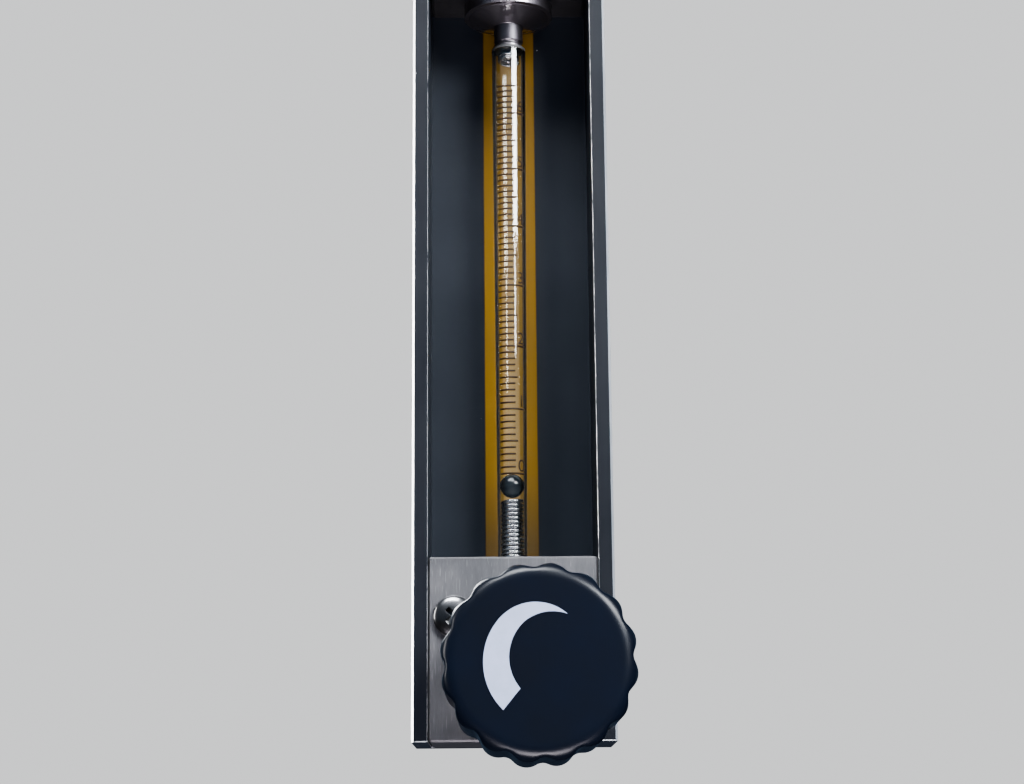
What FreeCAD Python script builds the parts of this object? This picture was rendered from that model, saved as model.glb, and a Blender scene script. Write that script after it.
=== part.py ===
import FreeCAD, Part
import math
import os

from FreeCAD import Placement, Rotation, Vector

# Panel flowmeter: a tapered glass tube with a ball float, held between two metal
# blocks in a black channel, with a needle valve and its knob on the lower block.
# Millimetres. The origin is where the tube's axis meets the base plane, +Z is up
# along the tube, and the open front of the channel faces -Y.

# Channel
channel_width = 30.0
channel_wall = 2.4
channel_height = 146.5
channel_front_chamfer = 0.35
channel_inner_chamfer = 0.15
tube_behind_front = 9.0

# End blocks
block_height = 27.0
block_depth = 17.0
block_side_clearance = 0.05
block_corner_radius = 0.6
block_front_chamfer = 0.3

# Scale backing strip
backing_width = 8.4
backing_thickness = 0.25

# Glass tube and float
tube_insert = 7.5
tube_radius_low = 2.2
tube_radius_high = 2.72
tube_bore_growth = 0.42
tube_hole_clearance = 0.3
float_diameter = 3.7
float_clearance = 0.03
float_rest_z = 37.25
gasket_thickness = 1.0
gasket_bore_radius = 1.2
end_gasket_thickness = 0.4

# Float stops, wound from one size of wire
stop_wire_radius = 0.24
stop_pitch = 0.65
stop_side_clearance = 0.12
stop_wire_sides = 5
stop_bends_per_turn = 9
upper_stop_length = 2.2

# Flanged tube adapter under the upper block
adapter_reach = 9.1
adapter_neck_radius = 2.3
adapter_neck_length = 3.8
adapter_cone_height = 1.6
adapter_flange_radius = 7.1
adapter_flange_thickness = 2.0
adapter_body_radius = 4.5
adapter_body_insert = 6.5
adapter_bore_spare = 0.4
adapter_passage_radius = 1.3
adapter_seal_height = 4.0

# Needle valve
valve_x = 3.2
valve_z = 9.1
chamber_radius = 3.0
chamber_depth = 9.0
passage_radius = 1.2
seat_radius = 2.0
seat_length = 1.6
orifice_radius = 0.7
needle_clearance = 0.04
needle_taper = 0.36
needle_tip_radius = 0.2
stem_radius = 1.5
stem_neck_radius = 1.2
running_clearance = 0.05
valve_travel = 2.0
bonnet_thread_radius = 4.0
bonnet_thread_length = 6.0
bonnet_across_flats = 11.0
bonnet_hex_thickness = 3.0
bonnet_neck_radius = 3.2
bonnet_neck_length = 3.0
stem_seal_wire = 0.6
stem_seal_depth = 1.8

# Knob
knob_gap = 8.1
knob_length = 20.6
knob_radius = 13.4
knob_lobes = 16
knob_first_lobe = 14.0
knob_lobe_height = 0.75
knob_crest_radius = 2.6
knob_face_radius = 11.2
knob_edge_run = 1.9
knob_wall = 1.7
knob_face_thickness = 2.6
knob_hub_radius = 5.0
knob_hub_recess = 1.2
insert_radius = 3.2
insert_length = 14.0
set_screw_radius = 1.5
set_screw_inset = 4.2
set_screw_angle = 100.0
crescent_depth = 0.4
crescent_clearance = 0.02

# Ports and panel fixing
port_from_end = 11.5
port_spigot_radius = 5.0
port_spigot_length = 5.5
port_chamber_gap = 0.5
port_body_radius = 7.0
port_body_clearance = 0.1
port_body_length = 13.0
port_thread_radius = 4.4
port_thread_length = 8.0
port_passage_radius = 1.5
port_flats = 12.0
port_flats_length = 3.5
panel_thickness = 3.0
nut_across_flats = 19.0
nut_thickness = 4.0

# Screws that hold the blocks to the channel
screw_x = 8.7
screw_z = 18.1
screw_radius = 1.5
screw_head_radius = 3.1
screw_head_height = 1.9
screw_hole_clearance = 0.15
screw_thread_clearance = 0.05
screw_tip_inset = 0.4
recess_width = 0.85
recess_length = 3.7
recess_depth = 1.2

seal_gap = 0.05

# Worked out from the sizes above
inner_width = channel_width - 2 * channel_wall
block_width = inner_width - 2 * block_side_clearance
front_y = -tube_behind_front
web_y = front_y + block_depth
back_y = web_y + channel_wall
upper_block_z = channel_height - block_height
float_radius = float_diameter / 2
tube_low_z = block_height - tube_insert
adapter_low_z = upper_block_z - adapter_reach
tube_high_z = adapter_low_z - end_gasket_thickness
bore_radius_low = float_radius + float_clearance
bore_radius_high = bore_radius_low + tube_bore_growth
tube_hole_radius = tube_radius_low + tube_hole_clearance
port_floor_y = web_y - port_spigot_length - port_chamber_gap
seat_y = front_y + chamber_depth
knob_rear_y = front_y - knob_gap
knob_front_y = knob_rear_y - knob_length
up = Vector(0, 0, 1)
back = Vector(0, 1, 0)
front = Vector(0, -1, 0)


def save(shape, node):
    shape.exportStep("parts/" + node + ".step")


def box(x0, x1, y0, y1, z0, z1):
    return Part.makeBox(x1 - x0, y1 - y0, z1 - z0, Vector(x0, y0, z0))


def rod(radius, start, direction, length):
    return Part.makeCylinder(radius, length, start, direction)


def ring(outer, inner, start, direction, length):
    return rod(outer, start, direction, length).cut(rod(inner, start, direction, length))


def turned(points, origin, direction):
    """Solid of revolution from an outline of (radius, distance along the axis) points."""
    outline = [Vector(radius, 0, distance) for radius, distance in points]
    solid = Part.Face(Part.makePolygon(outline + outline[:1])).revolve(Vector(0, 0, 0), up, 360)
    solid.Placement = Placement(origin, Rotation(up, direction))
    return solid


def hexagon(across_flats, start, direction, length):
    """Hexagonal bar whose corners are turned off at 30 degrees at the far end."""
    corner = across_flats / math.sqrt(3)
    points = [Vector(corner * math.cos(math.radians(60 * i)), corner * math.sin(math.radians(60 * i)), 0)
              for i in range(7)]
    bar = Part.Face(Part.makePolygon(points)).extrude(Vector(0, 0, length))
    bar.Placement = Placement(start, Rotation(up, direction))
    edge = across_flats / 2 * 0.96
    drop = (corner - edge) * math.tan(math.radians(30))
    cap = turned([(0, 0), (corner, 0), (corner, length - drop), (edge, length), (0, length)], start, direction)
    return bar.common(cap)


def wound_stop(low_z, high_z):
    """Float stop wound from round wire on the tube's axis, as short straight runs with mitred bends."""
    mean = bore_radius_low - stop_side_clearance - stop_wire_radius
    bends = int((high_z - low_z - 2 * stop_wire_radius) / stop_pitch * stop_bends_per_turn)
    turn = 2 * math.pi / stop_bends_per_turn
    rise = stop_pitch / stop_bends_per_turn
    path = [Vector(mean * math.cos(turn * i), mean * math.sin(turn * i), high_z - stop_wire_radius - rise * (bends - i))
            for i in range(bends + 1)]
    along = (path[1] - path[0]).normalize()
    outward = along.cross(up).normalize()
    upward = outward.cross(along)
    wedge = 2 * math.pi / stop_wire_sides
    section = [path[0] + outward * (stop_wire_radius * math.cos(wedge * i)) + upward * (stop_wire_radius * math.sin(wedge * i))
               for i in range(stop_wire_sides)]
    mitred = 1
    return Part.makePolygon(path).makePipeShell([Part.makePolygon(section + section[:1])], True, False, mitred)


def seal_ring(mean, wire, centre, direction):
    """Seal squeezed in its groove, which flattens its round section to four sides."""
    return ring(mean + wire, mean - wire, centre - direction * wire, direction, 2 * wire)


def port_places():
    return [port_from_end, channel_height - port_from_end]


def screw_places():
    return [(side * screw_x, z) for z in (screw_z, channel_height - screw_z) for side in (-1, 1)]


def housing_channel():
    half = channel_width / 2
    inner = inner_width / 2
    chamfer = channel_front_chamfer
    slight = channel_inner_chamfer
    right_side = [(inner, web_y), (inner, front_y + slight), (inner + slight, front_y), (half - chamfer, front_y),
                  (half, front_y + chamfer), (half, back_y)]
    left_side = [(-x, y) for x, y in reversed(right_side)]
    outline = left_side + right_side + left_side[:1]
    wire = Part.makePolygon([Vector(x, y, 0) for x, y in outline])
    channel = Part.Face(wire).extrude(Vector(0, 0, channel_height))
    for z in port_places():
        channel = channel.cut(rod(port_body_radius + port_body_clearance, Vector(0, web_y, z), back, channel_wall))
    for x, z in screw_places():
        hole = rod(screw_radius + screw_thread_clearance, Vector(x, web_y, z), back, channel_wall)
        channel = channel.cut(hole)
    return channel


def scale_backing():
    half = backing_width / 2
    return box(-half, half, web_y - backing_thickness, web_y, block_height, upper_block_z)


def plain_block(low_z):
    """Block body with rounded upright corners at the front and a chamfered front face."""
    half = block_width / 2
    body = box(-half, half, front_y, web_y, low_z, low_z + block_height)
    corners = [e for e in body.Edges if abs(e.tangentAt(e.FirstParameter).y) > 0.99]
    body = body.makeFillet(block_corner_radius, corners)
    rim = [e for e in body.Edges if e.BoundBox.YMax < front_y + 0.001]
    body = body.makeChamfer(block_front_chamfer, rim)
    for x, z in screw_places():
        if low_z < z < low_z + block_height:
            hole = rod(screw_radius + screw_hole_clearance, Vector(x, front_y, z), back, block_depth)
            body = body.cut(hole)
    return body


def port_hole(z):
    return rod(port_spigot_radius, Vector(0, port_floor_y, z), back, web_y - port_floor_y)


def lower_block():
    block = plain_block(0)
    seal_z = tube_low_z - gasket_thickness
    block = block.cut(rod(tube_hole_radius, Vector(0, 0, seal_z), up, block_height - seal_z))
    block = block.cut(rod(passage_radius, Vector(0, 0, valve_z), up, seal_z - valve_z))
    axis_front = Vector(valve_x, front_y, valve_z)
    bonnet_bore_depth = bonnet_thread_length + stem_seal_wire + seal_gap
    block = block.cut(rod(bonnet_thread_radius, axis_front, back, bonnet_bore_depth))
    block = block.cut(rod(chamber_radius, axis_front, back, chamber_depth))
    axis_seat = Vector(valve_x, seat_y, valve_z)
    block = block.cut(rod(seat_radius, axis_seat, back, seat_length))
    block = block.cut(rod(orifice_radius, axis_seat, back, port_floor_y - seat_y))
    return block.cut(port_hole(port_from_end))


def upper_block():
    block = plain_block(upper_block_z)
    bore = rod(adapter_body_radius + seal_gap, Vector(0, 0, upper_block_z), up, adapter_body_insert + adapter_bore_spare)
    riser_start = Vector(0, 0, upper_block_z)
    port_z = channel_height - port_from_end
    riser = rod(adapter_passage_radius, riser_start, up, port_z - upper_block_z)
    crossway = rod(port_passage_radius, Vector(0, 0, port_z), back, port_floor_y)
    return block.cut(bore).cut(riser).cut(crossway).cut(port_hole(port_z))


def glass_tube():
    points = [(bore_radius_low, tube_low_z), (tube_radius_low, tube_low_z), (tube_radius_high, tube_high_z),
              (bore_radius_high, tube_high_z)]
    return turned(points, Vector(0, 0, 0), up)


def float_ball():
    return Part.makeSphere(float_radius, Vector(0, 0, float_rest_z + float_radius))


def lower_float_stop():
    return wound_stop(tube_low_z, float_rest_z)


def upper_float_stop():
    return wound_stop(tube_high_z - upper_stop_length, tube_high_z)


def lower_tube_gasket():
    start = Vector(0, 0, tube_low_z - gasket_thickness)
    return ring(tube_hole_radius - seal_gap, gasket_bore_radius, start, up, gasket_thickness)


def upper_tube_gasket():
    start = Vector(0, 0, tube_high_z)
    return ring(tube_radius_high - seal_gap, adapter_passage_radius, start, up, end_gasket_thickness)


def tube_adapter():
    neck_top = adapter_neck_length
    rim_low = neck_top + adapter_cone_height
    rim_high = rim_low + adapter_flange_thickness
    body_top = adapter_reach + adapter_body_insert
    seal = adapter_reach + adapter_seal_height
    groove = adapter_body_radius - stem_seal_wire
    step = 0.3
    points = [(adapter_passage_radius, 0), (adapter_neck_radius, 0), (adapter_neck_radius, neck_top),
              (adapter_flange_radius - step, rim_low), (adapter_flange_radius, rim_low + step),
              (adapter_flange_radius, rim_high - step), (adapter_flange_radius - step, rim_high),
              (adapter_body_radius, rim_high), (adapter_body_radius, seal),
              (groove, seal), (groove, seal + 2 * stem_seal_wire), (adapter_body_radius, seal + 2 * stem_seal_wire),
              (adapter_body_radius, body_top), (adapter_passage_radius, body_top)]
    return turned(points, Vector(0, 0, adapter_low_z), up)


def adapter_o_ring():
    z = upper_block_z + adapter_seal_height + stem_seal_wire
    wire = stem_seal_wire / 2
    return seal_ring(adapter_body_radius - wire, wire, Vector(0, 0, z), up)


def valve_seat():
    start = Vector(valve_x, seat_y, valve_z)
    return ring(seat_radius - seal_gap, orifice_radius, start, back, seat_length)


def valve_bonnet():
    """Turned gland: thread in the block, hexagon, neck, and a chamber for the stem seal."""
    start = Vector(valve_x, front_y + bonnet_thread_length, valve_z)
    hex_start = Vector(valve_x, front_y, valve_z)
    body = rod(bonnet_thread_radius - seal_gap, start, front, bonnet_thread_length)
    body = body.fuse(hexagon(bonnet_across_flats, hex_start, front, bonnet_hex_thickness))
    neck_start = Vector(valve_x, front_y - bonnet_hex_thickness, valve_z)
    neck = rod(bonnet_neck_radius, neck_start, front, bonnet_neck_length)
    body = body.fuse(neck).removeSplitter()
    whole = bonnet_thread_length + bonnet_hex_thickness + bonnet_neck_length
    body = body.cut(rod(stem_radius + running_clearance, start, front, whole))
    seal_chamber = rod(stem_radius + stem_seal_wire + running_clearance, start, front,
                       bonnet_thread_length + bonnet_hex_thickness - running_clearance)
    return body.cut(seal_chamber)


def bonnet_o_ring():
    wire = stem_seal_wire / 2
    y = front_y + bonnet_thread_length + wire + seal_gap / 2
    mean = (chamber_radius + bonnet_thread_radius) / 2
    return seal_ring(mean, wire, Vector(valve_x, y, valve_z), back)


def valve_stem():
    """Stem from the needle's tip forward, with a groove for its seal."""
    needle_radius = orifice_radius - needle_clearance
    tip = (needle_radius - needle_tip_radius) / needle_taper
    shoulder = -(stem_neck_radius - needle_radius) / needle_taper
    seal_low = seat_y - (front_y + stem_seal_depth)
    groove = stem_radius - stem_seal_wire
    shaft_low = seal_low - 4 * stem_seal_wire
    end = seat_y - (knob_rear_y - knob_hub_recess - insert_length)
    points = [(0, -tip), (needle_tip_radius, -tip), (stem_neck_radius, -shoulder),
              (stem_neck_radius, shaft_low), (stem_radius, shaft_low), (stem_radius, seal_low),
              (groove, seal_low), (groove, seal_low + 2 * stem_seal_wire), (stem_radius, seal_low + 2 * stem_seal_wire),
              (stem_radius, end - 0.3), (stem_radius - 0.3, end), (0, end)]
    return turned(points, Vector(valve_x, seat_y, valve_z), front)


def stem_o_ring():
    wire = stem_seal_wire - running_clearance
    mean = stem_radius
    y = front_y + stem_seal_depth - stem_seal_wire
    return seal_ring(mean, wire, Vector(valve_x, y, valve_z), back)


def lobed_outline(y):
    """Scalloped line: rounded crests joined by smaller hollows, each pair of arcs tangent."""
    half_pitch = math.pi / knob_lobes
    crest_centre = knob_radius - knob_crest_radius
    hollow_reach = knob_radius - knob_lobe_height
    spread = math.cos(half_pitch)
    over = (knob_crest_radius ** 2 - crest_centre ** 2 - hollow_reach ** 2
            + 2 * crest_centre * hollow_reach * spread)
    hollow_radius = over / (2 * (hollow_reach - crest_centre * spread - knob_crest_radius))
    hollow_centre = hollow_reach + hollow_radius
    share = knob_crest_radius / (knob_crest_radius + hollow_radius)

    def at(reach, angle):
        return Vector(valve_x + reach * math.cos(angle), y, valve_z + reach * math.sin(angle))

    def meet(crest_angle, hollow_angle):
        crest = at(crest_centre, crest_angle)
        return crest + (at(hollow_centre, hollow_angle) - crest) * share

    edges = []
    for lobe in range(knob_lobes):
        crest_angle = math.radians(knob_first_lobe) + 2 * half_pitch * lobe
        before = meet(crest_angle, crest_angle - half_pitch)
        after = meet(crest_angle, crest_angle + half_pitch)
        following = meet(crest_angle + 2 * half_pitch, crest_angle + half_pitch)
        edges.append(Part.Arc(before, at(knob_radius, crest_angle), after).toShape())
        edges.append(Part.Arc(after, at(hollow_reach, crest_angle + half_pitch), following).toShape())
    return Part.Wire(edges)


def set_screw_direction():
    angle = math.radians(set_screw_angle)
    return Vector(math.cos(angle), 0, math.sin(angle))


def set_screw_bore(radius, reach_from, reach_to):
    direction = set_screw_direction()
    centre = Vector(valve_x, knob_rear_y - set_screw_inset, valve_z)
    return rod(radius, centre + direction * reach_from, direction, reach_to - reach_from)


def knob():
    """Moulded knob: lobed grip, rounded front edge, hollow back round a hub."""
    grip = Part.Face(lobed_outline(knob_rear_y)).extrude(front * knob_length)
    rear = Vector(valve_x, knob_rear_y, valve_z)
    drop = knob_radius - knob_face_radius
    rim = knob_length - knob_edge_run
    bands = [(knob_face_radius + drop * math.cos(math.radians(a)), rim + knob_edge_run * math.sin(math.radians(a)))
             for a in (0, 40, 90)]
    whole = turned([(0, 0), (knob_radius, 0), *bands, (0, knob_length)], rear, front)
    body = grip.common(whole)
    hollow_radius = knob_radius - knob_lobe_height - knob_wall
    hollow = ring(hollow_radius, knob_hub_radius, rear, front, knob_length - knob_face_thickness)
    mouth = rod(hollow_radius, rear, front, knob_hub_recess)
    body = body.cut(hollow).cut(mouth)
    socket = rod(insert_radius, rear, front, knob_hub_recess + insert_length)
    body = body.cut(socket)
    body = body.cut(set_screw_bore(set_screw_radius + seal_gap, 0, knob_radius + 1))
    return body.cut(crescent(crescent_clearance))


def knob_insert():
    start = Vector(valve_x, knob_rear_y - knob_hub_recess, valve_z)
    insert = ring(insert_radius - seal_gap, stem_radius + seal_gap, start, front, insert_length)
    return insert.cut(set_screw_bore(set_screw_radius + seal_gap, 0, insert_radius + 1))


def knob_set_screw():
    screw = set_screw_bore(set_screw_radius, stem_radius + seal_gap / 2, knob_hub_radius)
    socket_centre = knob_hub_radius - 1.2
    direction = set_screw_direction()
    centre = Vector(valve_x, knob_rear_y - set_screw_inset, valve_z) + direction * socket_centre
    return screw.cut(hexagon(1.5, centre, direction, 1.2 + seal_gap))


def crescent(grow):
    """Flat crescent set in the knob's face; grow widens it for the recess.

    Its corners and the middles of its arcs are shares of the face's radius from the axis."""
    tip = (0.341, 0.545)
    outer_a = (-0.139, 0.682)
    outer_b = (-0.507, 0.453)
    outer_c = (-0.663, 0.031)
    outer_end = (-0.43, -0.578)
    inner_end = (-0.226, -0.327)
    inner_a = (-0.358, 0.031)
    inner_b = (-0.174, 0.458)
    inner_c = (0.054, 0.566)

    def at(point):
        return Vector(valve_x + point[0] * knob_face_radius, knob_front_y, valve_z + point[1] * knob_face_radius)

    edges = [Part.Arc(at(tip), at(outer_a), at(outer_b)).toShape(),
             Part.Arc(at(outer_b), at(outer_c), at(outer_end)).toShape(),
             Part.makeLine(at(outer_end), at(inner_end)),
             Part.Arc(at(inner_end), at(inner_a), at(inner_b)).toShape(),
             Part.Arc(at(inner_b), at(inner_c), at(tip)).toShape()]
    outline = Part.Wire(edges)
    if grow:
        outline = outline.makeOffset2D(grow)
    return Part.Face(outline).extrude(Vector(0, crescent_depth, 0))


def pan_screw(x, z):
    """Pan head screw with a cross recess, its head on the block's front face."""
    rim = screw_head_height * 0.45
    length = block_depth + channel_wall - screw_tip_inset
    points = [(0, screw_head_height), (screw_head_radius * 0.66, screw_head_height),
              (screw_head_radius, rim), (screw_head_radius, 0), (screw_radius, 0), (screw_radius, -length),
              (0, -length)]
    screw = turned(points, Vector(x, front_y, z), front)
    top = front_y - screw_head_height
    for turn in (45, 135):
        wing = box(-recess_length / 2, recess_length / 2, 0, recess_depth, -recess_width / 2, recess_width / 2)
        wing.Placement = Placement(Vector(x, top, z), Rotation(back, turn))
        screw = screw.cut(wing)
    return screw


def block_screws():
    return Part.makeCompound([pan_screw(x, z) for x, z in screw_places()])


def port_adapter(z):
    """Threaded port that stands out of the back, with a seal on its spigot and two flats."""
    spigot = port_spigot_radius - seal_gap
    spigot_end = web_y - port_spigot_length
    total = port_spigot_length + channel_wall + port_body_length
    seal = port_spigot_length / 2
    groove = spigot - stem_seal_wire
    body_start = port_spigot_length
    mouth = total - port_thread_length
    step = 0.5
    points = [(port_passage_radius, 0), (spigot, 0), (spigot, seal), (groove, seal),
              (groove, seal + 2 * stem_seal_wire), (spigot, seal + 2 * stem_seal_wire), (spigot, body_start),
              (port_body_radius, body_start), (port_body_radius, total - step), (port_body_radius - step, total),
              (port_thread_radius, total), (port_thread_radius, mouth), (port_passage_radius, mouth - 1.5)]
    adapter = turned(points, Vector(0, spigot_end, z), back)
    tail = back_y + port_body_length - port_flats_length
    half = port_flats / 2
    for side in (-1, 1):
        low = min(side * half, side * (port_body_radius + 1))
        high = max(side * half, side * (port_body_radius + 1))
        flat = box(low, high, tail, tail + port_flats_length + 1, z - port_body_radius, z + port_body_radius)
        adapter = adapter.cut(flat)
    return adapter


def port_o_rings():
    wire = stem_seal_wire / 2
    y = web_y - port_spigot_length / 2 + stem_seal_wire
    mean = port_spigot_radius - seal_gap - wire
    return Part.makeCompound([seal_ring(mean, wire, Vector(0, y, z), back) for z in port_places()])


def panel_nut(z):
    start = Vector(0, back_y + panel_thickness, z)
    nut = hexagon(nut_across_flats, start, back, nut_thickness)
    return nut.cut(rod(port_body_radius + running_clearance, start, back, nut_thickness))


def panel_nuts():
    return Part.makeCompound([panel_nut(z) for z in port_places()])


save(housing_channel(), "housing_channel")
save(scale_backing(), "scale_backing")
save(lower_block(), "lower_block")
save(upper_block(), "upper_block")
save(glass_tube(), "glass_tube")
save(float_ball(), "float_ball")
save(lower_float_stop(), "lower_float_stop")
save(upper_float_stop(), "upper_float_stop")
save(lower_tube_gasket(), "lower_tube_gasket")
save(upper_tube_gasket(), "upper_tube_gasket")
save(tube_adapter(), "tube_adapter")
save(adapter_o_ring(), "adapter_o_ring")
save(valve_seat(), "valve_seat")
save(valve_bonnet(), "valve_bonnet")
save(bonnet_o_ring(), "bonnet_o_ring")
save(valve_stem(), "valve_stem")
save(stem_o_ring(), "stem_o_ring")
save(knob(), "knob")
save(knob_insert(), "knob_insert")
save(knob_set_screw(), "knob_set_screw")
save(crescent(0), "knob_crescent")
save(block_screws(), "block_screws")
save(port_adapter(port_from_end), "inlet_adapter")
save(port_adapter(channel_height - port_from_end), "outlet_adapter")
save(port_o_rings(), "port_o_rings")
save(panel_nuts(), "panel_nuts")
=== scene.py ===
"""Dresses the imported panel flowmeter: finishes, scaled glass tube, float, springs, knob and studio."""
import math

import bmesh
import bpy
from bpy.props import FloatProperty, FloatVectorProperty, IntProperty, PointerProperty
from bpy.types import Operator, Panel, PropertyGroup
from bpy.utils import register_class, unregister_class
from mathutils import Matrix, Vector


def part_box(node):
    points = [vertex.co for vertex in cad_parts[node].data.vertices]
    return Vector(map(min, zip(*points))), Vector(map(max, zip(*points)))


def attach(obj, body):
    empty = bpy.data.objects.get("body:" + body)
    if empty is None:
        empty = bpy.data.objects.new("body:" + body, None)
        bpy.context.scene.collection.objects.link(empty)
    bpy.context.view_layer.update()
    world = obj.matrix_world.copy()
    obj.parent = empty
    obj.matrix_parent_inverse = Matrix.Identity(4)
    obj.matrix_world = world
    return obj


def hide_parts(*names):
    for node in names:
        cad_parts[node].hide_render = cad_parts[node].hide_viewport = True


bl_info = {
    "name": "Panel Flowmeter",
    "version": (1, 0, 0),
    "blender": (4, 5, 0),
    "location": "View3D > Sidebar > Flowmeter",
    "description": "Finishes a glass tube flowmeter in a black channel, with its needle valve knob",
    "category": "Object",
}

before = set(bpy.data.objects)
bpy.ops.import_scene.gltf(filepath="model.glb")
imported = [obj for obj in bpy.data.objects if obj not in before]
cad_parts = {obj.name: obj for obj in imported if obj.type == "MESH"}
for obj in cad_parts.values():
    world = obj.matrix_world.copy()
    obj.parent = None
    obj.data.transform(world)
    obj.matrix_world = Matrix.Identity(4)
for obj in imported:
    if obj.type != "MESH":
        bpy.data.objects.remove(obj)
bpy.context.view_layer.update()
GLASS_LOW, GLASS_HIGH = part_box("glass_tube")

MM = 0.001
UP = Vector((0, 0, 1))
FRONT = Vector((0, -1, 0))
MERGE = 0.5e-6
FRONT_TO_BACK = (math.radians(90), 0, 0)
UPRIGHT = Matrix.Rotation(math.radians(90), 4, "X")
SCALE_TOP = 6.5
DAYLIGHT = (0.95, 0.98, 1.0)
LIT_POINT = Vector((0, 0, 0.06))


def node_low(name):
    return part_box(name)[0]


def node_high(name):
    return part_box(name)[1]


def node_centre(name):
    low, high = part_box(name)
    return (low + high) / 2


def length(name, description, millimetres):
    """A length property whose default is given in millimetres."""
    return FloatProperty(name=name, description=description, default=millimetres * MM, unit="LENGTH",
                         precision=5)


def colour(name, description, red, green, blue):
    return FloatVectorProperty(name=name, description=description, subtype="COLOR", size=3, min=0.0,
                               max=1.0, default=(red, green, blue))


def amount(name, description, value):
    return FloatProperty(name=name, description=description, default=value)


def angle(name, description, degrees):
    return FloatProperty(name=name, description=description, default=math.radians(degrees),
                         subtype="ANGLE")


class FlowmeterSizes(PropertyGroup):
    """Sizes of the pieces that are modelled here rather than taken from the frame."""
    tube_radius_low: length("Tube radius, low end", "Outer radius of the glass at its low end", 2.2)
    tube_radius_high: length("Tube radius, high end", "Outer radius of the glass at its high end", 2.72)
    bore_radius_low: length("Bore radius, low end", "Radius of the tapered bore at its low end", 1.88)
    bore_radius_high: length("Bore radius, high end", "Radius of the tapered bore at its high end", 2.3)
    scale_zero: length("Scale zero", "Height of the lowest tick", 40.71)
    scale_first_step: length("First step", "Rise from 0 to 1 before the scale tightens", 10.162)
    scale_tightening: length("Tightening", "How much each further unit comes short", 0.081)
    tick_width: length("Tick width", "Thickness of a printed tick", 0.29)
    print_depth: length("Print depth", "Thickness of the fired print on the glass", 0.012)
    digit_height: length("Digit height", "Height of the numerals", 1.95)
    wire_radius: length("Wire radius", "Radius of the float stops' wire", 0.30)
    stop_pitch: length("Stop pitch", "Rise of the float stops' wire in one turn", 0.65)
    stop_clearance: length("Stop clearance", "Gap between the float stops and the bore", 0.12)
    knob_crest_radius: length("Lobe crest radius", "Radius of each lobe's crest", 2.6)
    knob_lobe_height: length("Lobe height", "Depth of the hollows between the lobes", 0.75)
    knob_face_radius: length("Face radius", "Radius of the knob's flat face", 11.2)
    knob_edge_run: length("Edge run", "How far back the knob's rounded edge reaches", 1.9)
    knob_wall: length("Knob wall", "Wall between the hollows and the inside", 1.7)
    knob_face_thickness: length("Face thickness", "Thickness of the knob's face", 2.6)
    knob_hub_radius: length("Hub radius", "Radius of the hub inside the knob", 5.0)
    knob_hub_recess: length("Hub recess", "How far the hub stands back from the rear", 1.2)
    knob_lobes: IntProperty(name="Lobes", description="Number of lobes round the knob", default=16, min=3)
    knob_first_lobe: angle("First lobe", "Angle of the first lobe's crest", 14.0)
    channel_wall: length("Channel wall", "Thickness of the channel's sides and web", 2.4)
    channel_chamfer: length("Channel chamfer", "Chamfer on the channel's outer front edges", 0.35)
    port_radius: length("Port radius", "Radius of the port bodies at the back", 7.0)
    port_flats_length: length("Flats length", "How far the flats reach along the port bodies", 3.5)
    thread_pitch: length("Thread pitch", "Rise of the port bodies' thread in one turn", 1.0)
    thread_height: length("Thread height", "How far the thread stands out of the port bodies", 0.22)


class FlowmeterColours(PropertyGroup):
    """Colours of the finishes."""
    anodised: colour("Black anodising", "Dyed oxide on the channel", 0.0080, 0.0102, 0.0144)
    # Also paints the broken highlight lines along the channel's inner front edges and foot.
    bare: colour("Bare aluminium", "Metal where the anodising has worn through", 0.72, 0.73, 0.75)
    amber: colour("Amber strip", "Golden backing strip behind the tube", 0.130, 0.072, 0.0045)
    # Painted light: the paler colour behind the tube stands in for light seen through the glass.
    faded: colour("Faded amber", "Paler strip right behind the tube", 0.205, 0.135, 0.052)
    steel: colour("Block steel", "Brushed metal of the blocks", 0.142, 0.139, 0.147)
    fitting: colour("Tube fitting", "Dull purple-grey metal of the tube fitting", 0.095, 0.088, 0.098)
    turned: colour("Turned steel", "Nickel finish of the turned fittings", 0.32, 0.30, 0.33)
    screw: colour("Screw steel", "Darker plated screws", 0.055, 0.055, 0.058)
    wire: colour("Spring wire", "Drawn stainless wire", 0.50, 0.50, 0.51)
    ink: colour("Scale print", "Fired brown print", 0.012, 0.006, 0.003)
    knob: colour("Knob plastic", "Moulded black plastic", 0.0016, 0.0026, 0.0055)
    white: colour("White print", "Crescent on the knob's face", 0.145, 0.168, 0.235)
    rubber: colour("Seal rubber", "Black seals and gaskets", 0.016, 0.016, 0.017)
    seat: colour("Valve seat", "Pale plastic of the valve's seat ring", 0.70, 0.69, 0.66)
    brass: colour("Insert brass", "Threaded insert in the knob", 0.60, 0.42, 0.16)
    float_glass: colour("Float", "Dark glass ball", 0.020, 0.023, 0.026)
    room: colour("Room light", "Bluish light of the room", 0.42, 0.66, 1.0)
    pale: colour("Backdrop", "Plain pale studio backdrop", 0.80, 0.81, 0.82)


class FlowmeterStudio(PropertyGroup):
    """Camera and lights."""
    camera_place: FloatVectorProperty(name="Camera", description="Where the lens is", size=3, unit="LENGTH",
                                      default=(-0.001759, -0.304713, -0.015102), precision=6)
    camera_pitch: angle("Pitch", "How far the camera looks up", 12.764)
    camera_yaw: angle("Yaw", "Camera's turn to the left", -0.35)
    camera_roll: angle("Roll", "Camera's roll", -0.478)
    lens: amount("Lens", "Focal length in millimetres on a 36 mm sensor", 70.858)
    floor_drop: length("Floor drop", "How far the floor lies below the part", 400.0)
    floor_size: length("Floor size", "Half width of the floor", 4000.0)
    key_power: amount("Key power", "Watts of the large window at the right", 2.6)
    ceiling_power: amount("Ceiling power", "Watts of the soft light above the front", 3.7)
    back_power: amount("Back power", "Watts of the soft lights behind", 6.0)
    strip_power: amount("Strip power", "Watts of the narrow light at the left", 0.8)
    sky: amount("Sky strength", "Light of the pale room", 0.24)


# Shader nodes

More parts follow.
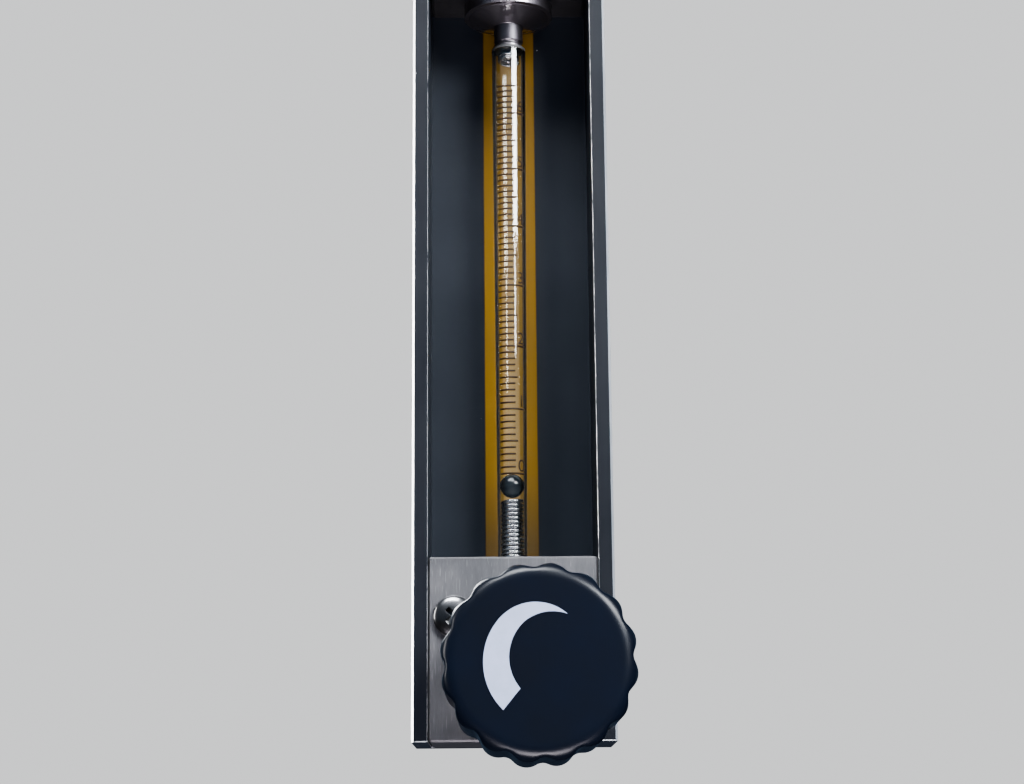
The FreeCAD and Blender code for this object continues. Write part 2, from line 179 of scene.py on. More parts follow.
def plug(tree, socket, value):
    """Links a socket to another one, or sets it to a plain value."""
    if isinstance(value, bpy.types.NodeSocket):
        tree.links.new(value, socket)
    else:
        socket.default_value = value


def feed(tree, node, **inputs):
    """Fills a node's inputs by name."""
    for key, value in inputs.items():
        plug(tree, node.inputs[key.replace("_", " ")], value)


def add_node(tree, kind, settings=None, **inputs):
    node = tree.nodes.new(kind)
    for key, value in (settings or {}).items():
        setattr(node, key, value)
    feed(tree, node, **inputs)
    return node


def maths(tree, operation, first, second=0.0):
    node = add_node(tree, "ShaderNodeMath", {"operation": operation})
    plug(tree, node.inputs[0], first)
    plug(tree, node.inputs[1], second)
    return node.outputs[0]


def times(tree, first, second):
    return maths(tree, "MULTIPLY", first, second)


def band(tree, value, low, high, out_low=0.0, out_high=1.0):
    """Value rescaled from low..high to out_low..out_high and clamped."""
    node = add_node(tree, "ShaderNodeMapRange", Value=value, From_Min=low, From_Max=high, To_Min=out_low,
                    To_Max=out_high)
    return node.outputs["Result"]


def middle(tree, value, out_low=0.0, out_high=1.0):
    """The usual reach of a noise, 0.3 to 0.7, rescaled to out_low..out_high."""
    return band(tree, value, 0.3, 0.7, out_low, out_high)


def noise(tree, vector, scale, detail=3.0, roughness=0.5):
    node = add_node(tree, "ShaderNodeTexNoise", Vector=vector, Scale=scale, Detail=detail,
                    Roughness=roughness)
    return node.outputs["Fac"]


def stretched(tree, vector, stretch):
    """Vector scaled along X, Y and Z, so that a pattern on it is drawn out."""
    node = add_node(tree, "ShaderNodeVectorMath", {"operation": "MULTIPLY"})
    plug(tree, node.inputs[0], vector)
    plug(tree, node.inputs[1], stretch)
    return node.outputs[0]


def mixed(tree, factor, first, second):
    """Colour between first and second."""
    node = add_node(tree, "ShaderNodeMix", {"data_type": "RGBA"})
    plug(tree, node.inputs[0], factor)
    for socket, value in ((node.inputs[6], first), (node.inputs[7], second)):
        plug(tree, socket, value if isinstance(value, bpy.types.NodeSocket) else (*value, 1.0))
    return node.outputs[2]


def uneven(tree, factor, tint, dark, light=1.0):
    """A finish's colour, varied between a darker and a lighter share of it."""
    return mixed(tree, factor, [c * dark for c in tint], [min(1.0, c * light) for c in tint])


def bump(tree, height, distance, strength):
    node = add_node(tree, "ShaderNodeBump", Height=height, Distance=distance, Strength=strength)
    return node.outputs["Normal"]


def object_point(tree):
    return tree.nodes.new("ShaderNodeTexCoord").outputs["Object"]


def axes(tree, point):
    """X, Y and Z of a vector."""
    return tuple(add_node(tree, "ShaderNodeSeparateXYZ", Vector=point).outputs)


def new_group(name, outputs, **inputs):
    """Node group on a Vector and the named inputs; returns it, what it is given and its output node."""
    tree = bpy.data.node_groups.new(name, "ShaderNodeTree")
    tree.interface.new_socket("Vector", in_out="INPUT", socket_type="NodeSocketVector")
    for title, value in inputs.items():
        kind = "NodeSocketFloat" if isinstance(value, float) else "NodeSocketVector"
        socket = tree.interface.new_socket(title.replace("_", " "), in_out="INPUT", socket_type=kind)
        socket.default_value = value
    for title in outputs:
        tree.interface.new_socket(title, in_out="OUTPUT", socket_type="NodeSocketFloat")
    return tree, tree.nodes.new("NodeGroupInput").outputs, tree.nodes.new("NodeGroupOutput")


def build_brushing():
    """Fine drawn-out grain and a few single scratches."""
    tree, given, made = new_group("Brushed grain", ("Grain", "Scratches"), Stretch=(1.0, 1.0, 1.0))
    drawn = stretched(tree, given["Vector"], given["Stretch"])
    fine = noise(tree, drawn, 1.0, detail=5.0, roughness=0.65)
    coarse = noise(tree, drawn, 0.23, detail=2.0)
    single = noise(tree, drawn, 0.55, detail=1.0, roughness=0.4)
    feed(tree, made, Grain=maths(tree, "ADD", times(tree, fine, 0.65), times(tree, coarse, 0.35)),
         Scratches=band(tree, single, 0.66, 0.72))
    return tree


def build_mottling():
    """Slow unevenness of a surface and small specks of dust on it."""
    tree, given, made = new_group("Mottling and dust", ("Patches", "Dust"), Patch_Scale=60.0,
                                  Dust_Scale=900.0, Dust_Size=0.08)
    point = given["Vector"]
    cells = add_node(tree, "ShaderNodeTexVoronoi", Vector=point, Scale=given["Dust Scale"])
    speck = maths(tree, "LESS_THAN", cells.outputs["Distance"], given["Dust Size"])
    chosen = add_node(tree, "ShaderNodeSeparateColor", Color=cells.outputs["Color"])
    kept = maths(tree, "GREATER_THAN", chosen.outputs["Red"], 0.9)
    feed(tree, made, Dust=times(tree, speck, kept),
         Patches=noise(tree, point, given["Patch Scale"], detail=4.0, roughness=0.6))
    return tree


def build_turning():
    """Rings that a lathe leaves: they follow the radius and the height about the Z axis."""
    tree, given, made = new_group("Turning rings", ("Height", "Shade"), Rings=9000.0)
    point = given["Vector"]
    x, y, z = axes(tree, point)
    flat = add_node(tree, "ShaderNodeCombineXYZ", X=x, Y=y)
    reach = add_node(tree, "ShaderNodeVectorMath", {"operation": "LENGTH"})
    plug(tree, reach.inputs[0], flat.outputs[0])
    along = maths(tree, "ADD", reach.outputs["Value"], z)
    rings = add_node(tree, "ShaderNodeTexNoise", {"noise_dimensions": "1D"}, Detail=4.0, Roughness=0.7,
                     W=times(tree, along, given["Rings"]), Scale=1.0).outputs["Fac"]
    smudges = band(tree, noise(tree, point, 350.0), 0.2, 0.8, 0.75, 1.1)
    feed(tree, made, Height=rings, Shade=times(tree, rings, smudges))
    return tree


def build_grain():
    """Even fine grain of moulded plastic and rubber, with shiny rubbed patches."""
    tree, given, made = new_group("Moulded grain", ("Grain", "Rubbed"), Grain_Scale=5000.0)
    point = given["Vector"]
    rubbed = noise(tree, point, 140.0, detail=4.0, roughness=0.6)
    feed(tree, made, Grain=noise(tree, point, given["Grain Scale"], detail=2.0, roughness=0.6),
         Rubbed=band(tree, rubbed, 0.35, 0.7))
    return tree


def shared(tree, name, **inputs):
    """Node of a group, which is built the first time that it is asked for."""
    builders = {"Brushed grain": build_brushing, "Mottling and dust": build_mottling,
                "Turning rings": build_turning, "Moulded grain": build_grain}
    group = bpy.data.node_groups.get(name) or builders[name]()
    return add_node(tree, "ShaderNodeGroup", {"node_tree": group}, **inputs)


def new_material(name, **inputs):
    """Material with its node tree and shader, whose own sockets take the inputs."""
    made = bpy.data.materials.new(name)
    made.use_nodes = True
    tree = made.node_tree
    shader = tree.nodes["Principled BSDF"]
    feed(tree, shader, **inputs)
    return made, tree, shader


# Materials

def channel_material(colours, sizes):
    """Black anodising with chamfers cut through to the metal, broken edge lines that are partly wear and
    partly painted highlight, painted shade on the front faces and a little dust.
    """
    made, tree, shader = new_material("black_anodised", Specular_IOR_Level=0.15)
    point = object_point(tree)
    x, depth, height = axes(tree, point)
    across = maths(tree, "ABSOLUTE", x)
    low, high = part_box("housing_channel")
    chamfer = sizes.channel_chamfer * 0.98
    line = 0.1 * MM

    on_chamfer = times(tree, maths(tree, "GREATER_THAN", across, high.x - chamfer),
                       maths(tree, "LESS_THAN", depth, low.y + chamfer))
    on_front = maths(tree, "LESS_THAN", depth, low.y + line)
    from_inside = maths(tree, "ABSOLUTE", maths(tree, "SUBTRACT", across, high.x - sizes.channel_wall))
    # Partly wear, partly painted highlight: a broken line of uncoated metal on the inner front edges.
    inner_wear_highlight = times(tree, maths(tree, "LESS_THAN", from_inside, line), on_front)
    # Painted highlight: a thin line of uncoated metal along the foot of the front edges, which are sharp.
    from_foot = maths(tree, "ABSOLUTE", maths(tree, "SUBTRACT", height, line))
    foot_highlight_line = maths(tree, "LESS_THAN", from_foot, line * 0.8)
    wear = band(tree, noise(tree, point, 420.0, detail=5.0, roughness=0.7), 0.35, 0.6)
    wear_and_highlight_line = times(tree, maths(tree, "MAXIMUM", inner_wear_highlight, foot_highlight_line), wear)
    # The chamfers are uncoated metal; the edge lines add a painted highlight.
    bare = maths(tree, "MAXIMUM", on_chamfer, wear_and_highlight_line)

    mottle = shared(tree, "Mottling and dust", Vector=point, Patch_Scale=45.0, Dust_Scale=420.0,
                    Dust_Size=0.045)
    grain = shared(tree, "Brushed grain", Vector=point, Stretch=(9000.0, 9000.0, 260.0)).outputs["Grain"]
    dyed = uneven(tree, mottle.outputs["Patches"], colours.anodised, 0.8, 1.35)
    # Painted shade: the front faces of the walls are darkened towards black.
    painted_shade_front = mixed(tree, times(tree, on_front, 0.65), dyed, (0.0, 0.0, 0.001))
    dusty = mixed(tree, mottle.outputs["Dust"], painted_shade_front, (0.20, 0.21, 0.22))
    feed(tree, shader, Base_Color=mixed(tree, bare, dusty, colours.bare), Metallic=bare,
         Roughness=maths(tree, "ADD", middle(tree, grain, -0.05, 0.05),
                         middle(tree, mottle.outputs["Patches"], 0.36, 0.46)),
         Normal=bump(tree, grain, 0.004 * MM, 0.5))
    return made


def amber_material(colours):
    """Golden strip: deeper in colour at its foot, painted paler right behind the tube as light seen through
    the glass, dark at its edges.
    """
    made, tree, shader = new_material("amber_backing", Roughness=0.38, Specular_IOR_Level=0.15)
    point = object_point(tree)
    x, _, height = axes(tree, point)
    across = maths(tree, "ABSOLUTE", x)
    foot = node_high("lower_block").z
    above_foot = band(tree, height, foot + 4 * MM, foot + 16 * MM)
    # Painted light: the strip is made paler right behind the tube.
    painted_light_behind_tube = band(tree, across, 1.9 * MM, 2.25 * MM, 0.85, 0.0)
    on_edge = maths(tree, "GREATER_THAN", across, node_high("scale_backing").x - 0.12 * MM)
    patches = shared(tree, "Mottling and dust", Vector=point, Patch_Scale=90.0).outputs["Patches"]
    red, green, blue = colours.amber
    deep = (red * 0.45, green * 0.5, blue * 2.5)
    faded = mixed(tree, painted_light_behind_tube, mixed(tree, above_foot, deep, colours.amber), colours.faded)
    edged = mixed(tree, times(tree, on_edge, 0.8), faded, (0.02, 0.012, 0.004))
    feed(tree, shader, Base_Color=mixed(tree, middle(tree, patches, 0.0, 0.25), edged, deep))
    return made


def block_material(colours):
    """Brushed steel with an upright grain, a few scratches, dull patches and specks."""
    made, tree, shader = new_material("block_steel", Metallic=1.0)
    point = object_point(tree)
    brushed = shared(tree, "Brushed grain", Vector=point, Stretch=(9000.0, 9000.0, 900.0))
    grain = brushed.outputs["Grain"]
    mottle = shared(tree, "Mottling and dust", Vector=point, Patch_Scale=160.0, Dust_Scale=700.0,
                    Dust_Size=0.05)
    base = uneven(tree, middle(tree, grain), colours.steel, 0.72)
    marked = mixed(tree, times(tree, brushed.outputs["Scratches"], 0.07), base, (0.7, 0.7, 0.7))
    feed(tree, shader, Base_Color=mixed(tree, mottle.outputs["Dust"], marked, (0.12, 0.12, 0.12)),
         Roughness=maths(tree, "ADD", middle(tree, grain, -0.04, 0.04),
                         middle(tree, mottle.outputs["Patches"], 0.38, 0.46)),
         Normal=bump(tree, grain, 0.006 * MM, 0.2))
    return made


def turned_material(name, tint, centre, axis_turn=FRONT_TO_BACK, rings=9000.0, roughness=0.26, coat=0.0):
    """Turned metal whose rings run round the piece's own axis, under a clear coat where one is given."""
    made, tree, shader = new_material(name, Metallic=1.0, Coat_Weight=coat, Coat_Roughness=0.06)
    place = add_node(tree, "ShaderNodeMapping", {"vector_type": "TEXTURE"}, Vector=object_point(tree),
                     Location=centre, Rotation=axis_turn)
    turning = shared(tree, "Turning rings", Vector=place.outputs[0], Rings=rings)
    shade = turning.outputs["Shade"]
    feed(tree, shader, Base_Color=uneven(tree, band(tree, shade, 0.2, 0.8), tint, 0.7),
         Roughness=band(tree, shade, 0.2, 0.8, roughness + 0.1, roughness - 0.06),
         Normal=bump(tree, turning.outputs["Height"], 0.01 * MM, 0.6))
    return made


def moulded_material(name, tint, roughness, grain_scale=5000.0, depth=0.01 * MM, specular=0.5):
    """Moulded plastic or rubber with a fine grain."""
    made, tree, shader = new_material(name, Specular_IOR_Level=specular)
    grain = shared(tree, "Moulded grain", Vector=object_point(tree), Grain_Scale=grain_scale)
    rubbed = grain.outputs["Rubbed"]
    feed(tree, shader, Base_Color=uneven(tree, rubbed, tint, 0.8, 1.15),
         Roughness=band(tree, rubbed, 0.0, 1.0, roughness + 0.02, roughness - 0.03),
         Normal=bump(tree, grain.outputs["Grain"], depth, 0.5))
    return made


def glass_material():
    """Clear drawn glass with the faintest ripple along the draw."""
    made, tree, shader = new_material("tube_glass", Roughness=0.0, IOR=1.47, Transmission_Weight=1.0,
                                      Base_Color=(0.985, 0.99, 0.98, 1.0))
    ripple = noise(tree, stretched(tree, object_point(tree), (300.0, 300.0, 30.0)), 1.0, detail=1.0)
    feed(tree, shader, Normal=bump(tree, ripple, 0.01 * MM, 0.008))
    return made


def wire_material(colours):
    """Drawn wire, brighter where it is rubbed."""
    made, tree, shader = new_material("spring_wire", Metallic=1.0)
    drawn = noise(tree, object_point(tree), 2500.0, roughness=0.6)
    feed(tree, shader, Base_Color=uneven(tree, drawn, colours.wire, 0.75),
         Roughness=middle(tree, drawn, 0.14, 0.26))
    return made


def float_material(colours):
    """Dark polished glass ball."""
    made, tree, shader = new_material("float_glass", IOR=1.55)
    cloud = noise(tree, object_point(tree), 600.0)
    feed(tree, shader, Base_Color=uneven(tree, cloud, colours.float_glass, 0.7, 1.6),
         Roughness=middle(tree, cloud, 0.04, 0.12))
    return made


def ink_material(colours):
    """Fired print, a little uneven."""
    made, tree, shader = new_material("scale_print", Roughness=0.45, Specular_IOR_Level=0.1)
    patchy = noise(tree, object_point(tree), 1800.0)
    feed(tree, shader, Base_Color=uneven(tree, patchy, colours.ink, 0.7, 1.4))
    return made


def crescent_material(colours):
    """White filled print with a faint tooth."""
    made, tree, shader = new_material("crescent_white")
    point = object_point(tree)
    patchy = noise(tree, point, 500.0, detail=4.0, roughness=0.6)
    feed(tree, shader, Base_Color=uneven(tree, middle(tree, patchy), colours.white, 0.88),
         Normal=bump(tree, noise(tree, point, 3000.0, detail=2.0), 0.006 * MM, 0.4))
    return made


def backdrop_material(colours):
    """Pale floor that the camera sees as evenly lit as the room, and that throws little light back up."""
    made, tree, shader = new_material("studio_floor", Roughness=0.9, Specular_IOR_Level=0.0,
                                      Emission_Color=(*colours.pale, 1.0))
    cloud = noise(tree, object_point(tree), 3.0, detail=2.0)
    seen = tree.nodes.new("ShaderNodeLightPath").outputs["Is Camera Ray"]
    feed(tree, shader, Emission_Strength=seen,
         Base_Color=mixed(tree, cloud, (0.030, 0.033, 0.040), (0.034, 0.037, 0.044)))
    return made


# Mesh helpers

def dress(made, *nodes):
    """Gives nodes of the frame their finish."""
    for node in nodes:
        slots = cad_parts[node].data.materials
        slots.clear()
        slots.append(made)


def placed(name, bm):
    """Object made of a bmesh, which is used up."""
    mesh = bpy.data.meshes.new(name)
    bm.to_mesh(mesh)
    bm.free()
    made = bpy.data.objects.new(name, mesh)
    bpy.context.scene.collection.objects.link(made)
    return made


def finished(name, bm, made, body, replaced=(), weighted=True):
    """Turns a bmesh into a piece that rides on a body."""
    for face in bm.faces:
        face.smooth = True
    piece = placed(name, bm)
    piece.data.materials.append(made)
    if weighted:
        even = piece.modifiers.new("Even shading", "WEIGHTED_NORMAL")
        even.keep_sharp = True
    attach(piece, body)
    if replaced:
        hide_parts(*replaced)


def add_to(whole, part):
    """Moves one bmesh into another; the first is used up."""
    sheet = bpy.data.meshes.new("part")
    part.to_mesh(sheet)
    part.free()
    whole.from_mesh(sheet)
    bpy.data.meshes.remove(sheet)


def put(bm, place, turn):
    """Turns a bmesh about the origin and moves it to its place."""
    bmesh.ops.transform(bm, matrix=Matrix.Translation(place) @ turn, verts=bm.verts[:])


def outwards(bm):
    """Merges what meets and turns every face outwards."""
    bmesh.ops.remove_doubles(bm, verts=bm.verts[:], dist=MERGE)
    bmesh.ops.recalc_face_normals(bm, faces=bm.faces[:])


def soften(bm, width, above=math.radians(25)):
    """Bevels every edge that turns by more than an angle."""
    sharp = [e for e in bm.edges if len(e.link_faces) == 2 and e.calc_face_angle() > above]
    bmesh.ops.bevel(bm, geom=sharp, offset=width, offset_type="OFFSET", segments=2, profile=0.5,
                    affect="EDGES", clamp_overlap=True, material=-1)


def turned(points, origin, direction, steps, softening=0.0):
    """Outline of (radius, distance along the axis) points, spun once round the axis.

    An outline that starts and ends on the axis stays open there; any other is closed."""
    bm = bmesh.new()
    verts = [bm.verts.new((radius, 0, distance)) for radius, distance in points]
    pairs = list(zip(verts, verts[1:]))
    if points[0][0] > 0 or points[-1][0] > 0:
        pairs.append((verts[-1], verts[0]))
    for pair in pairs:
        bm.edges.new(pair)
    bmesh.ops.spin(bm, geom=bm.verts[:] + bm.edges[:], cent=(0, 0, 0), axis=UP, dvec=(0, 0, 0),
                   angle=2 * math.pi, steps=steps, use_merge=True)
    outwards(bm)
    if softening:
        soften(bm, softening)
    put(bm, origin, UP.rotation_difference(direction).to_matrix().to_4x4())
    return bm


def wind(bm, rise, pitch, steps, sides):
    """Winds a closed section of so many sides up the Z axis, steps to a turn, and caps its ends."""
    count = int(rise / pitch * steps)
    bmesh.ops.spin(bm, geom=bm.verts[:] + bm.edges[:], cent=(0, 0, 0), axis=UP, dvec=(0, 0, pitch / steps),
                   angle=2 * math.pi * count / steps, steps=count, use_merge=False)
    bmesh.ops.holes_fill(bm, edges=[e for e in bm.edges if e.is_boundary], sides=sides)


def cut_by(body, cutter):
    """Body less cutter, as a new bmesh."""
    holders = [placed("body", body), placed("cutter", cutter)]
    cut = holders[0].modifiers.new("Cut", "BOOLEAN")
    cut.operation = "DIFFERENCE"
    cut.solver = "EXACT"
    cut.use_self = True
    cut.object = holders[1]
    bpy.context.view_layer.update()
    depsgraph = bpy.context.evaluated_depsgraph_get()
    result = bpy.data.meshes.new_from_object(holders[0].evaluated_get(depsgraph))
    bm = bmesh.new()
    bm.from_mesh(result)
    bpy.data.meshes.remove(result)
    for holder in holders:
        mesh = holder.data
        bpy.data.objects.remove(holder)
        bpy.data.meshes.remove(mesh)
    return bm


# Studio

class FLOWMETER_OT_camera(Operator):
    """Place the camera low in front of the part, looking up"""
    bl_idname = "flowmeter.camera"
    bl_label = "Place Camera"

    def execute(self, context):
        studio = context.scene.flowmeter_studio
        pitch, yaw, roll = studio.camera_pitch, studio.camera_yaw, studio.camera_roll
        ahead = Vector((-math.sin(yaw) * math.cos(pitch), math.cos(yaw) * math.cos(pitch), math.sin(pitch)))
        level = Vector((math.cos(yaw), math.sin(yaw), 0))
        upright = level.cross(ahead)
        right = level * math.cos(roll) + upright * math.sin(roll)
        above = upright * math.cos(roll) - level * math.sin(roll)
        lens = bpy.data.cameras.new("camera")
        lens.sensor_fit = "HORIZONTAL"
        lens.sensor_width = 36.0
        lens.lens = studio.lens
        lens.clip_start = 0.01
        lens.clip_end = 50.0
        camera = bpy.data.objects.new("camera", lens)
        turn = Matrix((right, above, -ahead)).transposed().to_4x4()
        camera.matrix_world = Matrix.Translation(studio.camera_place) @ turn
        context.scene.collection.objects.link(camera)
        context.scene.camera = camera
        return {"FINISHED"}


def soft_light(name, power, azimuth, elevation, distance, width, height, tint=DAYLIGHT, spread=60):
    """Rectangular light aimed at the part. Its azimuth runs from the front to the right, in degrees."""
    across, rise = math.radians(azimuth), math.radians(elevation)
    away = Vector((math.sin(across) * math.cos(rise), -math.cos(across) * math.cos(rise), math.sin(rise)))
    data = bpy.data.lights.new(name, "AREA")
    data.shape = "RECTANGLE"
    data.size = width
    data.size_y = height
    data.energy = power
    data.color = tint
    data.spread = math.radians(spread)
    lamp = bpy.data.objects.new(name, data)
    lamp.location = LIT_POINT + away * distance
    lamp.rotation_euler = away.to_track_quat("Z", "Y").to_euler()
    bpy.context.scene.collection.objects.link(lamp)


def pale_room(colours, strength):
    """World that lights the part bluishly and that the camera sees as a plain pale backdrop."""
    world = bpy.data.worlds.new("pale_room")
    world.use_nodes = True
    tree = world.node_tree
    room = tree.nodes["Background"]
    feed(tree, room, Color=(*colours.room, 1.0), Strength=strength)
    seen = add_node(tree, "ShaderNodeBackground", Color=(*colours.pale, 1.0), Strength=1.0)
    choose = tree.nodes.new("ShaderNodeMixShader")
    plug(tree, choose.inputs[0], tree.nodes.new("ShaderNodeLightPath").outputs["Is Camera Ray"])
    plug(tree, choose.inputs[1], room.outputs[0])
    plug(tree, choose.inputs[2], seen.outputs[0])
    plug(tree, tree.nodes["World Output"].inputs[0], choose.outputs[0])
    return world


class FLOWMETER_OT_stage(Operator):
    """Lay the pale floor and hang the soft lights"""
    bl_idname = "flowmeter.stage"
    bl_label = "Light Studio"

    def execute(self, context):
        studio = context.scene.flowmeter_studio
        colours = context.scene.flowmeter_colours
        bm = bmesh.new()
        bmesh.ops.create_grid(bm, x_segments=2, y_segments=2, size=studio.floor_size)
        bmesh.ops.translate(bm, vec=(0, 0, -studio.floor_drop), verts=bm.verts[:])
        floor = placed("floor", bm)
        floor.data.materials.append(backdrop_material(colours))
        soft_light("window_right", studio.key_power, azimuth=37, elevation=26, distance=0.75,
                   width=0.40, height=0.21)
        soft_light("sill_right", studio.key_power * 0.035, azimuth=34, elevation=15.5, distance=0.75,
                   width=0.16, height=0.06)
        soft_light("ceiling_front", studio.ceiling_power, azimuth=-14, elevation=58, distance=0.75,
                   width=0.5, height=0.3)
        soft_light("fill_back_right", studio.back_power, azimuth=182, elevation=22, distance=0.9,
                   width=0.16, height=0.6, spread=90)
        soft_light("fill_back_left", studio.back_power * 0.7, azimuth=206, elevation=35, distance=0.9,
                   width=0.3, height=0.6, spread=90)
        soft_light("low_fill", studio.key_power * 0.27, azimuth=4, elevation=-56, distance=0.43,
                   width=0.3, height=0.16, tint=(1.0, 0.94, 1.0))
        soft_light("strip_left", studio.strip_power, azimuth=-88, elevation=12, distance=0.8,
                   width=0.10, height=0.5, tint=(1.0, 0.98, 0.95))
        context.scene.world = pale_room(colours, studio.sky)
        context.scene.view_settings.look = "AgX - Medium High Contrast"
        return {"FINISHED"}


# Pieces

class FLOWMETER_OT_channel(Operator):
    """Finish the black channel and the amber strip"""
    bl_idname = "flowmeter.channel"
    bl_label = "Finish Channel"

    def execute(self, context):
        colours = context.scene.flowmeter_colours
        dress(channel_material(colours, context.scene.flowmeter_sizes), "housing_channel")
        dress(amber_material(colours), "scale_backing")
        return {"FINISHED"}


class FLOWMETER_OT_blocks(Operator):
    """Finish the two brushed end blocks"""
    bl_idname = "flowmeter.blocks"
    bl_label = "Finish Blocks"

    def execute(self, context):
        dress(block_material(context.scene.flowmeter_colours), "lower_block", "upper_block")
        return {"FINISHED"}


class FLOWMETER_OT_tube(Operator):
    """Spin the tapered glass tube"""
    bl_idname = "flowmeter.tube"
    bl_label = "Make Glass Tube"

    def execute(self, context):
        sizes = context.scene.flowmeter_sizes
        low, high = GLASS_LOW.z, GLASS_HIGH.z
        outline = [(sizes.bore_radius_low, low), (sizes.tube_radius_low, low),
                   (sizes.tube_radius_high, high), (sizes.bore_radius_high, high)]
        bm = turned(outline, Vector(), UP, steps=128, softening=0.1 * MM)
        finished("clear_tube", bm, glass_material(), "meter", ["glass_tube"])
        return {"FINISHED"}


def tube_radius(sizes, height):
    """Outer radius of the glass at a height."""
    share = (height - GLASS_LOW.z) / (GLASS_HIGH.z - GLASS_LOW.z)
    return sizes.tube_radius_low + (sizes.tube_radius_high - sizes.tube_radius_low) * share


def scale_height(sizes, reading):
    """Height of a reading on the scale, whose steps tighten towards the top."""
    return sizes.scale_zero + sizes.scale_first_step * reading - sizes.scale_tightening * reading ** 2


def bent_on_tube(bm, sizes, turn, height, lift):
    """Lays flat print (X across, Y up) on the tube's front, turned by an angle to the right."""
    for vert in bm.verts:
        z = height + vert.co.y
        reach = tube_radius(sizes, z) + lift + vert.co.z
        around = turn + vert.co.x / reach
        vert.co = (reach * math.sin(around), -reach * math.cos(around), z)


def digit_mesh(text, size, depth):
    """Thin numeral, centred across, standing on the X axis and cut into narrow columns that can bend."""
    height_share = 0.73
    column_width = 0.12 * MM
    curve = bpy.data.curves.new("numeral", "FONT")
    curve.body = text
    curve.size = size / height_share
    curve.align_x = "CENTER"
    curve.extrude = depth / 2
    holder = bpy.data.objects.new("numeral", curve)
    bpy.context.scene.collection.objects.link(holder)
    bpy.context.view_layer.update()
    flat = bpy.data.meshes.new_from_object(holder)
    bpy.data.objects.remove(holder)
    bpy.data.curves.remove(curve)
    bm = bmesh.new()
    bm.from_mesh(flat)
    bpy.data.meshes.remove(flat)
    for column in range(-5, 6):
        bmesh.ops.bisect_plane(bm, geom=bm.verts[:] + bm.edges[:] + bm.faces[:], dist=MERGE / 10,
                               plane_co=(column * column_width, 0, 0), plane_no=(1, 0, 0))
    return bm


def face_out(bm):
    """Turns every face of the print away from the tube's axis."""
    bm.normal_update()
    inward = [f for f in bm.faces if f.normal.dot(f.calc_center_median().to_2d().to_3d()) < 0]
    bmesh.ops.reverse_faces(bm, faces=inward)


class FLOWMETER_OT_scale(Operator):
    """Print the ticks and numerals on the glass"""
    bl_idname = "flowmeter.scale"
    bl_label = "Print Scale"

    def execute(self, context):
        sizes = context.scene.flowmeter_sizes
        ink = ink_material(context.scene.flowmeter_colours)
        lift = 0.004 * MM
        left_end, whole_end, half_end, tenth_end = (math.radians(turn) for turn in (-47, 58, 24, 15))
        digit_turn, digit_rise = math.radians(39), 0.35 * MM
        bm = bmesh.new()
        for tenth in range(int(SCALE_TOP * 10) + 1):
            height = scale_height(sizes, tenth / 10)
            reach = tube_radius(sizes, height)
            left = left_end * reach
            right = (whole_end if tenth % 10 == 0 else half_end if tenth % 5 == 0 else tenth_end) * reach
            tick = bmesh.ops.create_grid(bm, x_segments=10, y_segments=1, size=0.5)["verts"]
            bmesh.ops.scale(bm, vec=(right - left, sizes.tick_width, 1), verts=tick)
            bmesh.ops.translate(bm, vec=((left + right) / 2, height, 0), verts=tick)
        bent_on_tube(bm, sizes, 0.0, 0.0, lift)
        face_out(bm)
        bmesh.ops.solidify(bm, geom=bm.faces[:], thickness=-sizes.print_depth)
        finished("scale_ticks", bm, ink, "meter", weighted=False)
        numerals = bmesh.new()
        for number in range(int(SCALE_TOP) + 1):
            digit = digit_mesh(str(number), sizes.digit_height, sizes.print_depth)
            height = scale_height(sizes, number) + digit_rise
            bent_on_tube(digit, sizes, digit_turn, height, lift + sizes.print_depth / 2)
            add_to(numerals, digit)
        outwards(numerals)
        finished("scale_numerals", numerals, ink, "meter", weighted=False)
        return {"FINISHED"}


def coil(mean, low, high, sizes):
    """Wire wound into a spring on the tube's axis, its ends cut square."""
    wire = sizes.wire_radius
    sides = 10
    bm = bmesh.new()
    bmesh.ops.create_circle(bm, cap_ends=False, segments=sides, radius=wire)
    put(bm, (mean, 0, low + wire), UPRIGHT)
    wind(bm, high - low - 2 * wire, sizes.stop_pitch, steps=36, sides=sides)
    outwards(bm)
    return bm


class FLOWMETER_OT_float(Operator):
    """Make the float ball and its two wound stops"""
    bl_idname = "flowmeter.float"
    bl_label = "Make Float"

    def execute(self, context):
        sizes = context.scene.flowmeter_sizes
        colours = context.scene.flowmeter_colours
        low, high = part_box("float_ball")
        bm = bmesh.new()
        bmesh.ops.create_uvsphere(bm, u_segments=64, v_segments=32, radius=(high.z - low.z) / 2)
        bmesh.ops.translate(bm, vec=node_centre("float_ball"), verts=bm.verts[:])
        finished("ball", bm, float_material(colours), "float", ["float_ball"])
        wire = wire_material(colours)
        mean = sizes.bore_radius_low - sizes.stop_clearance - sizes.wire_radius
        for name, node in (("lower_spring", "lower_float_stop"), ("upper_spring", "upper_float_stop")):
            bm = coil(mean, node_low(node).z, node_high(node).z, sizes)
            finished(name, bm, wire, "meter", [node], weighted=False)
        return {"FINISHED"}


